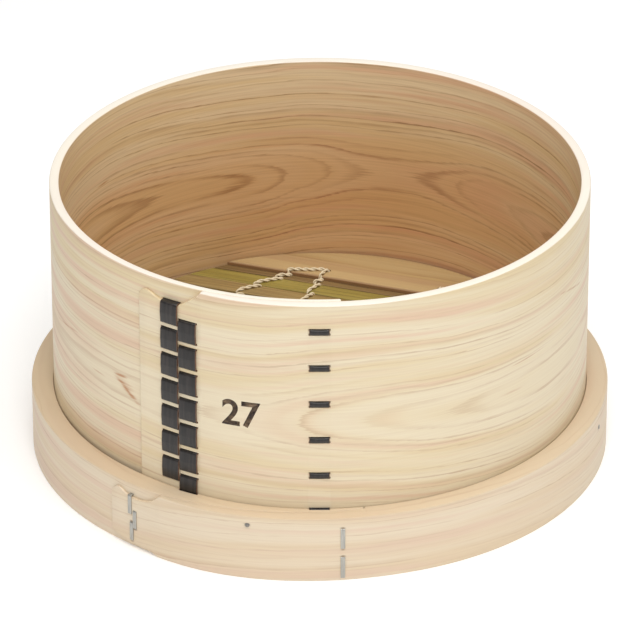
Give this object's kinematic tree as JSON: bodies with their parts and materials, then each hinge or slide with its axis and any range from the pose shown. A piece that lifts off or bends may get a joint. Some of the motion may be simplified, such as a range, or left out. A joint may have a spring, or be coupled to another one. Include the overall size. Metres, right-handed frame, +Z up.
{
  "type": "steamer tier",
  "caption": "Bent-wood steamer tier: a lapped, bark-laced round drum in a stapled base ring, with a loose floor mat of laced bamboo slats on crossed bars.",
  "frame": {"origin": "centre of the foot, on the surface the tier stands on", "axes": "+Z up along the drum's axis, -Y the front, where the board's lap is laced"},
  "size_m": [0.2921, 0.2913, 0.147],
  "materials": {
    "drum_cypress": "planed, bare",
    "ring_cypress": "planed, bare",
    "bar_cypress": "planed, bare",
    "board_cypress": "planed, bare",
    "bark": "dark satin bark",
    "staple_steel": "satin",
    "bamboo_skin": "split bamboo, skin side",
    "bamboo_inner": "split bamboo, inner side",
    "cotton": "twisted cord"
  },
  "bodies": {
    "basket": {"body_hoop": "drum_cypress", "base_ring": "ring_cypress", "seam_strap_left": "bark", "seam_strap_right": "bark", "inner_end_strap": "bark", "seam_staples": "staple_steel", "inner_end_staples": "staple_steel", "ring_nails": "staple_steel", "cross_bar_upper": "bar_cypress", "cross_bar_lower": "bar_cypress"},
    "mat": {"mat_board_back": "board_cypress", "mat_board_front": "board_cypress", "filler_slat_back": "bamboo_inner", "filler_slat_front": "bamboo_inner", "slat_01": "bamboo_skin", "slat_02": "bamboo_inner", "slat_03": "bamboo_skin", "slat_04": "bamboo_inner", "slat_05": "bamboo_skin", "slat_06": "bamboo_inner", "slat_07": "bamboo_skin", "slat_08": "bamboo_inner", "slat_09": "bamboo_skin", "slat_10": "bamboo_inner", "slat_11": "bamboo_skin", "slat_12": "bamboo_inner", "slat_13": "bamboo_skin", "slat_14": "bamboo_inner", "slat_15": "bamboo_skin", "slat_16": "bamboo_inner", "lacing_string_right": "cotton", "lacing_string_left": "cotton"}
  },
  "joints": [
    {"name": "mat_lift", "type": "slide", "parent": "basket", "child": "mat", "axis": [0, 0, 1], "range_m": [0, 0.13]}
  ]
}
